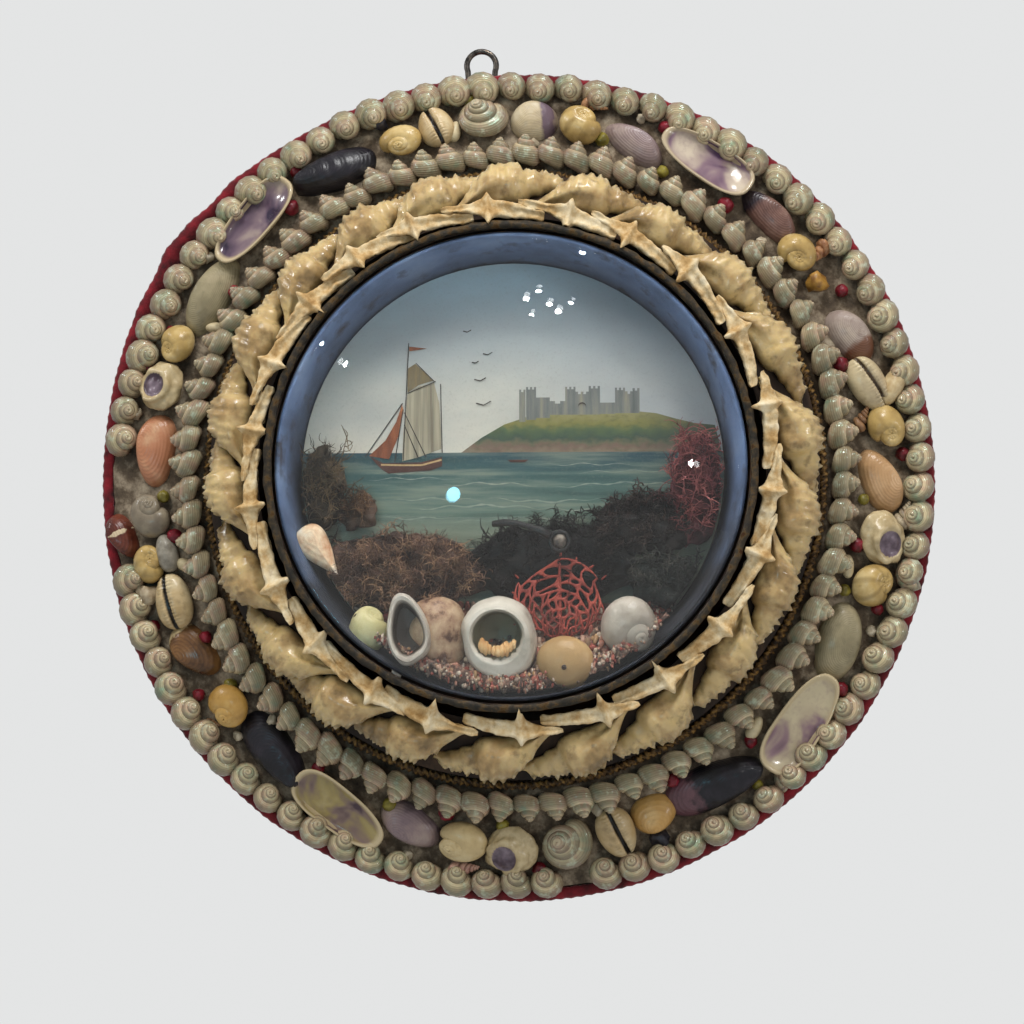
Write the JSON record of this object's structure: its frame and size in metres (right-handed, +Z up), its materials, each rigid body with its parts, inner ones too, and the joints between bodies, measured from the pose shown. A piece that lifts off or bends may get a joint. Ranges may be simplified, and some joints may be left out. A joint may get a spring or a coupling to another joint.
{
  "type": "shell-work wall picture",
  "caption": "Round wall picture worked in sea shells: a cloth-edged board with rings of shells round a domed glass over a small painted seaside scene.",
  "frame": {"origin": "centre of the board's flat back face, which lies on the wall", "axes": "+Y into the wall, -Y out of the glass toward the viewer, +Z up toward the hanging loop, +X to the viewer's right"},
  "size_m": [0.2766, 0.0751, 0.2857],
  "materials": {
    "dark_wood": "dark stained softwood, matt",
    "red_cloth": "dark red corded cloth, worn at the front edge",
    "plaster": "grey-white plaster, rough, with dirt",
    "pasteboard": "dark brown pasteboard",
    "painted_card": "card painted with sky, sea and coast",
    "blue_paper": "blue-grey lining paper, matt",
    "glass": "clear, polished",
    "gilt_paper": "gilt paper, browned and torn",
    "wire": "dull iron wire",
    "sand": "sand and pink coral grit",
    "red_coral": "red coral, matt",
    "seaweed": "dried seaweed, matt",
    "spiny_shell": "cream shell, satin, chalky at the cut edges",
    "pearly_shell": "pearly banded shell, green and pink lustre",
    "pale_shell": "white shell, satin",
    "clam_shell": "cream shell with a purple patch, glossy",
    "yellow_shell": "yellow shell, glossy",
    "purple_shell": "purple-grey shell, satin",
    "open_shell": "white and purple inside of a valve, glossy",
    "brown_shell": "brown shell, glossy",
    "toothed_shell": "cream shell with toothed ribs, satin",
    "orange_shell": "orange-pink shell, glossy",
    "cream_shell": "cream shell, glossy",
    "grey_shell": "grey-yellow shell, satin",
    "black_shell": "blue-black shell, glossy",
    "slit_shell": "cream underside of a cowrie, glossy",
    "amber_shell": "amber-brown shell, glossy",
    "banded_shell": "grey and white banded shell, satin"
  },
  "bodies": {
    "root": {"base_board": "dark_wood", "velvet_rim": "red_cloth", "plaster_bed": "plaster", "drum": "pasteboard", "scene_box": "pasteboard", "painted_card": "painted_card", "blue_lining": "blue_paper", "glass_dome": "glass", "gilt_bezel": "gilt_paper", "hanging_loop": "wire", "outer_shell_row": "pearly_shell", "inner_shell_row": "pearly_shell", "spiny_shell_ring": "spiny_shell", "sea_bed": "sand", "inner_yellow_shell": "yellow_shell", "inner_whelk": "pale_shell", "moon_shell": "pale_shell", "egg_shell": "yellow_shell", "inner_turban": "grey_shell", "coral_fan": "red_coral", "seaweed_left": "seaweed", "seaweed_right": "seaweed", "clam_purple_patch": "clam_shell", "yellow_periwinkle_n": "yellow_shell", "purple_bean_n": "purple_shell", "open_wedge_ne": "open_shell", "brown_mussel_ne": "brown_shell", "yellow_periwinkle_ne": "yellow_shell", "brown_clam_ne": "brown_shell", "toothed_cowrie_e": "toothed_shell", "yellow_periwinkle_e": "yellow_shell", "orange_tellin_e": "orange_shell", "cream_cowrie_e": "cream_shell", "yellow_periwinkle_se": "yellow_shell", "grey_valve_se": "grey_shell", "open_wedge_se": "open_shell", "black_mussel_se": "black_shell", "cream_bean_s": "cream_shell", "slit_cowrie_s": "slit_shell", "pearly_top_s": "pearly_shell", "purple_cowrie_s": "purple_shell", "cream_snail_s": "cream_shell", "purple_valve_sw": "purple_shell", "open_wedge_sw": "open_shell", "black_mussel_sw": "black_shell", "orange_snail_sw": "orange_shell", "amber_clam_w": "amber_shell", "slit_cowrie_w": "slit_shell", "yellow_periwinkle_w": "yellow_shell", "brown_tellin_w": "brown_shell", "banded_snail_w": "banded_shell", "orange_tellin_w": "orange_shell", "purple_cowrie_w": "purple_shell", "yellow_periwinkle_nw": "yellow_shell", "grey_valve_nw": "grey_shell", "open_wedge_nw": "open_shell", "black_mussel_nw": "black_shell", "yellow_snail_n": "yellow_shell", "slit_cowrie_n": "slit_shell", "pearly_top_n": "pearly_shell"}
  },
  "joints": []
}
